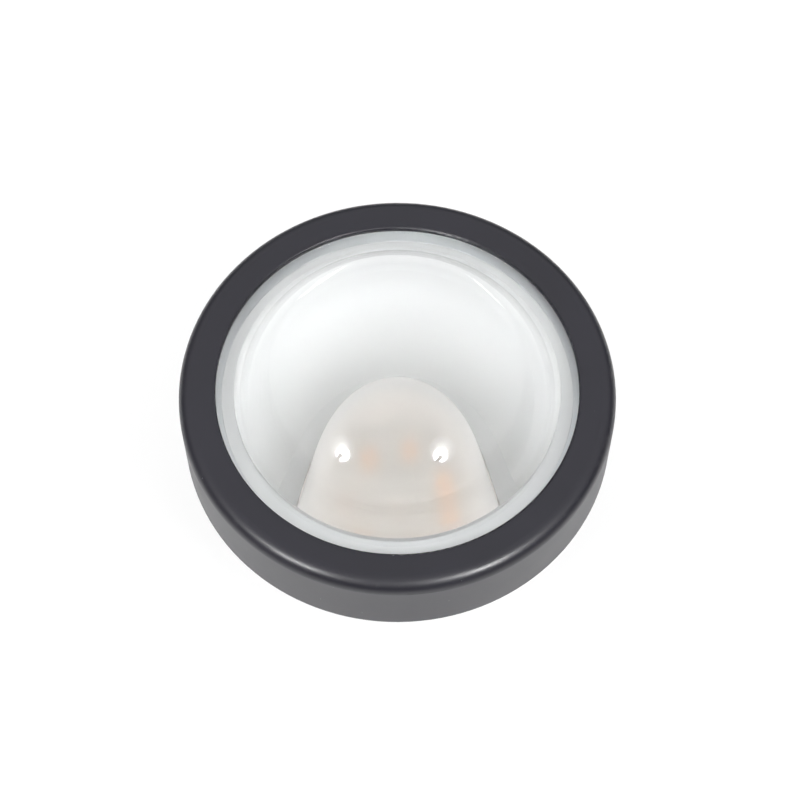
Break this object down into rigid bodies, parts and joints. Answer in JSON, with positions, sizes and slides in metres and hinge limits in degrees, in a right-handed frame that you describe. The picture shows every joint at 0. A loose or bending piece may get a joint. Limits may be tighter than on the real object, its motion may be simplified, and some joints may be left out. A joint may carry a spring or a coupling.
{
  "type": "pendant light head",
  "caption": "Round pendant light head: black bezel ring with a thick domed glass lens over a white bowl and a frosted dome, and a finned housing behind with a central cord gland.",
  "frame": {"origin": "centre of the flat back face, at the foot of the rear cover", "axes": "+Z from the back face towards the glass; X and Y across, with a cover screw's circle starting 30 degrees from +X"},
  "size_m": [0.11, 0.11, 0.082],
  "materials": {
    "black_paint": "satin black, fine texture",
    "lens_glass": "clear polished glass, faint green tint",
    "black_rubber": "matt",
    "pale_silicone": "matt, slightly translucent",
    "zinc_plate": "zinc plated",
    "reflector_white": "matt white",
    "frosted_plastic": "frosted, translucent",
    "led_phosphor": "silicone-filled light chips in a white body",
    "board_white": "white solder mask",
    "thermal_grey": "soft filled pad",
    "wire_red": "smooth insulation",
    "wire_black": "smooth insulation",
    "tray_plastic": "moulded",
    "board_green": "green solder mask",
    "core_dark": "taped core",
    "copper_wire": "enamelled copper wire",
    "can_sleeve": "shrink sleeve",
    "chip_black": "moulded",
    "terminal_green": "moulded",
    "black_nylon": "moulded, semi-gloss",
    "screw_black": "blackened"
  },
  "bodies": {
    "root": {"bezel_ring": "black_paint", "front_seal": "black_rubber", "front_lens": "lens_glass", "lens_gasket": "pale_silicone", "lens_retainer": "black_paint", "retainer_screws": "zinc_plate", "reflector_bowl": "reflector_white", "diffuser_dome": "frosted_plastic", "led_chips": "led_phosphor", "led_board": "board_white", "thermal_pad": "thermal_grey", "reflector_screws": "zinc_plate", "rear_housing": "black_paint", "housing_seal": "black_rubber", "housing_screws": "screw_black", "led_lead_red": "wire_red", "led_lead_black": "wire_black", "driver_tray": "tray_plastic", "driver_board": "board_green", "driver_screws": "zinc_plate", "transformer": "core_dark", "choke": "copper_wire", "capacitors": "can_sleeve", "rectifier": "chip_black", "driver_chip": "chip_black", "terminal_block": "terminal_green", "terminal_screws": "zinc_plate", "rear_cover": "black_paint", "cover_seal": "black_rubber", "cover_screws": "screw_black", "gland_body": "black_nylon", "gland_bush": "black_rubber", "gland_cap": "black_nylon", "gland_locknut": "black_nylon"}
  },
  "joints": []
}
